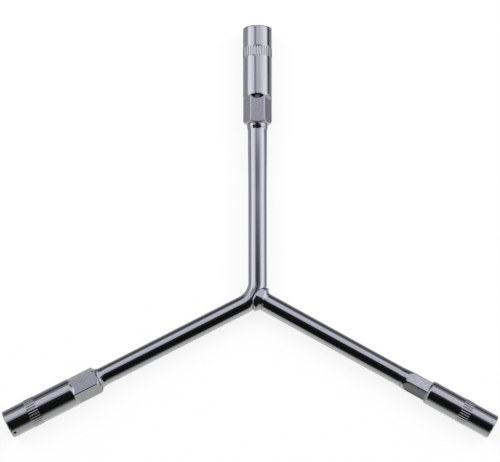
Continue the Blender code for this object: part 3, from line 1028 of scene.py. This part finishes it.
def soft_edge(value, start, end):
    """Nought at start, one at end, with a smooth step between, in either sense."""
    rising = start < end
    return add_node(sky, "MapRange", {
        "Value": value, "From Min": min(start, end), "From Max": max(start, end),
        "To Min": 0.0 if rising else 1.0, "To Max": 1.0 if rising else 0.0,
    }, interpolation_type="SMOOTHSTEP").outputs["Result"]


def paint(under, colour, edges):
    """The colour laid over what is under it, inside the product of its soft edges."""
    mask = soft_edge(*edges[0])
    for edge in edges[1:]:
        mask = maths(sky, "MULTIPLY", mask, soft_edge(*edge))
    return blend(sky, mask, under, (*colour, 1.0))


print("nodes that read the direction:", len(sky.nodes))

# %% [markdown]
# The layers follow in the order in which they are painted. A step that runs from a high number to
# a low one fades the layer in downwards or towards the negative side. Two steps on one axis, one
# up and one down, leave a strip between them.

# %% The studio's layers
FAR_GROUND = (0.406, 0.412, 0.426, 1.0)
DARK_PANEL = (0.007, 0.008, 0.008)
LAYERS = (
    ("near ground", (0.617, 0.629, 0.601), ((Y, -0.05, -0.25),)),
    ("gap at the horizon", (0.011, 0.011, 0.025), ((Z, -0.88, 0.09), (Y, -0.5, -0.15))),
    ("left ground", (0.334, 0.331, 0.358), ((Z, 0.14, -0.13), (X, -0.51, -0.66))),
    ("right end", (0.465, 0.482, 0.537), ((Z, 0.27, 0.14), (X, 0.92, 0.97), (Y, 0.27, 0.19))),
    ("ground below", (0.672, 0.687, 0.668), ((Z, -0.68, -0.95),)),
    ("ceiling", (0.649, 0.646, 0.739), ((Z, 0.36, 0.49), (Y, -0.6, -0.3))),
    ("side panels", (1.11, 1.11, 1.18), ((Z, -0.08, 0.28), (ABS_X, 0.26, 1.07), (Y, -0.4, 0.0))),
    ("near wall", (0.441, 0.454, 0.435), ((Z, -0.32, -0.02), (Y, -0.4, -0.7))),
    ("dark panel's far edge", (0.002, 0.002, 0.02),
     ((X, -0.64, -0.27), (X, 0.84, 0.29), (Y, 0.265, 0.125), (Z, 0.25, 0.6))),
    ("dark panel's middle", (0.02, 0.02, 0.01),
     ((X, -0.29, -0.24), (X, 0.25, 0.24), (Y, 0.36, -0.1), (Z, 0.36, 1.31))),
    ("seam", (0.075, 0.07, 0.12),
     ((X, -0.4, -0.35), (X, -0.05, -0.39), (Y, 0.08, 0.3), (Y, 0.42, 0.27))),
    ("dark panel's near part", DARK_PANEL,
     ((X, -0.67, -0.52), (X, 0.69, 0.59), (Y, -0.07, -0.27), (Z, 0.1, 0.3))),
    ("near wall's top", (0.424, 0.436, 0.416),
     ((ABS_X, 0.49, 0.3), (Y, -0.68, -0.87), (Z, 0.59, 0.19))),
    ("dim door", (0.15, 0.145, 0.15), ((ABS_X, 0.27, 0.2), (Y, -0.63, -0.7), (Z, 0.0, 0.2))),
    ("dark panel's left part", DARK_PANEL,
     ((X, -0.42, -0.52), (X, -0.85, -0.75), (Y, 0.14, 0.02), (Z, 0.4, 0.55))),
    ("dim strip overhead", (0.12, 0.118, 0.145),
     ((X, 0.05, 0.18), (X, 0.6, 0.4), (Y, -0.06, 0.04), (Y, 0.17, 0.1))),
    ("grey strip on the left", (0.3, 0.295, 0.36),
     ((X, -0.33, -0.45), (X, -0.75, -0.55), (Y, 0.28, 0.36), (Y, 0.58, 0.42))),
    ("opening behind", (0.45, 0.45, 0.48),
     ((ABS_X, 0.32, 0.16), (Y, 0.75, 0.9), (Z, -0.1, 0.1), (Z, 0.6, 0.4))),
)

picture = FAR_GROUND
for _, colour, edges in LAYERS:
    picture = paint(picture, colour, edges)
print("studio layers painted:", ", ".join(name for name, _, _ in LAYERS))

# %% [markdown]
# The photograph's ground is plain white. So a camera ray, or one that passed through something,
# sees white in the world, and only mirrored rays and the light itself see the painted studio.

# %% White behind the tool
WHITE = (1.0, 1.0, 1.0, 1.0)


def any_ray(tree, *names):
    """One where the ray is of any of the named kinds: the highest of their outputs."""
    kinds = add_node(tree, "LightPath").outputs
    found = kinds[names[0]]
    for name in names[1:]:
        found = maths(tree, "MAXIMUM", found, kinds[name])
    return found


room = add_node(sky, "Background", {"Color": picture})
white = add_node(sky, "Background", {"Color": WHITE})
seen = any_ray(sky, "Is Camera Ray", "Is Transmission Ray")
either = add_node(sky, "MixShader", {0: seen, 1: room.outputs[0], 2: white.outputs[0]})
add_node(sky, "OutputWorld", {"Surface": either.outputs[0]})
print("nodes in the world:", len(sky.nodes))

# %% [markdown]
# The floor is a sheet of white paper right under the tool. Most of it glows for the camera at a
# strength of one, which is white, and the rest is plain matt paper, so the tool still throws a
# faint shadow. Mirrored rays pass the sheet and see the studio's own pale ground.

# %% The floor
FLOOR_SIZE = 3.0
FLOOR_GLOW = 0.85
PAPER = {"Metallic": 0.0, "Base Color": (0.9, 0.9, 0.9, 1.0), "Roughness": 0.9,
         "Specular IOR Level": 0.0}

floor_mesh = bpy.data.meshes.new("paper")
square = np.array([(-1, -1, 0), (1, -1, 0), (1, 1, 0), (-1, 1, 0)]) * FLOOR_SIZE / 2
floor_mesh.from_pydata(square.tolist(), [], [(0, 1, 2, 3)])
floor = new_object("paper", floor_mesh)
paper = Finish("white_paper")
for name, value in PAPER.items():
    paper.set(name, value)
glow = paper.node("Emission", {"Color": WHITE, "Strength": 1.0})
seen = any_ray(paper.tree, "Is Camera Ray", "Is Glossy Ray", "Is Transmission Ray")
share = maths(paper.tree, "MULTIPLY", seen, FLOOR_GLOW)
sheet = paper.node("MixShader", {0: share, 1: paper.shader.outputs[0], 2: glow.outputs[0]})
put(paper.tree, paper.tree.nodes["Material Output"].inputs["Surface"], sheet.outputs[0])
floor_mesh.materials.append(paper.material)
floor.visible_glossy = False
print("floor", FLOOR_SIZE, "m across")

# %% [markdown]
# Two broad lamps light the paper. They are hidden from mirrored rays, because the painted studio
# already holds their reflections. A lamp and a camera both look along their own -Z, so one helper
# places both, with the picture's upright kept on the frame's +Y.

# %% The lamps
LAMP_SIZE = 1.2
LAMP_POWER = 16.0
LAMP_PLACES = {"left_panel": (-0.9, 0.5, 1.4), "right_panel": (1.0, 0.4, 1.3)}


def place_looking(item, place, aim):
    """Stands an item at a place; its axes are aim x Y, that x aim, and minus the aim."""
    aim = aim / np.linalg.norm(aim)
    across = np.cross(aim, [0.0, 1.0, 0.0])
    across /= np.linalg.norm(across)
    matrix = np.eye(4)
    matrix[:3, :] = np.stack([across, np.cross(across, aim), -aim, place], 1)
    item.matrix_world = matrix.T.tolist()


def lamp(name, place):
    """A square lamp that looks at the middle of the floor."""
    data = bpy.data.lights.new(name, "AREA")
    data.size = LAMP_SIZE
    data.energy = LAMP_POWER
    item = new_object(name, data)
    place_looking(item, place, -np.array(place))
    item.visible_glossy = False


for name, place in LAMP_PLACES.items():
    lamp(name, place)

# %% [markdown]
# ## The camera
#
# The photograph was taken from a little over a metre above the junction and slightly below it in
# the picture, with a long lens. Its places are counted in pixels, and the bar's width, which is
# known in both, gives the size of a pixel at the tool.

# %% The camera
BAR_MM = 12.0
BAR_PIXELS = 18.7
PIXEL = BAR_MM / BAR_PIXELS * MM
EYE_OFFSET = np.array([0.0, -266.0, 1863.0]) * PIXEL
LOOK_OFFSET = np.array([-7.6, 67.75, 0.0]) * PIXEL
SENSOR_WIDTH = 36.0
FOCAL_PIXELS = 1880.7
PICTURE_WIDTH = 500
NEAREST, FURTHEST = 0.05, 20.0

camera_data = bpy.data.cameras.new("camera")
camera_data.sensor_width = SENSOR_WIDTH
camera_data.lens = FOCAL_PIXELS * SENSOR_WIDTH / PICTURE_WIDTH
camera_data.clip_start, camera_data.clip_end = NEAREST, FURTHEST
camera = new_object("camera", camera_data)
eye = JUNCTION + EYE_OFFSET
place_looking(camera, eye, JUNCTION + LOOK_OFFSET - eye)
bpy.context.scene.camera = camera
print("camera", (eye / MM).round(1), "mm, lens", round(camera_data.lens, 2), "mm")

# %% [markdown]
# Standard colour handling keeps white white.

# %% Colour handling
bpy.context.scene.view_settings.view_transform = "Standard"
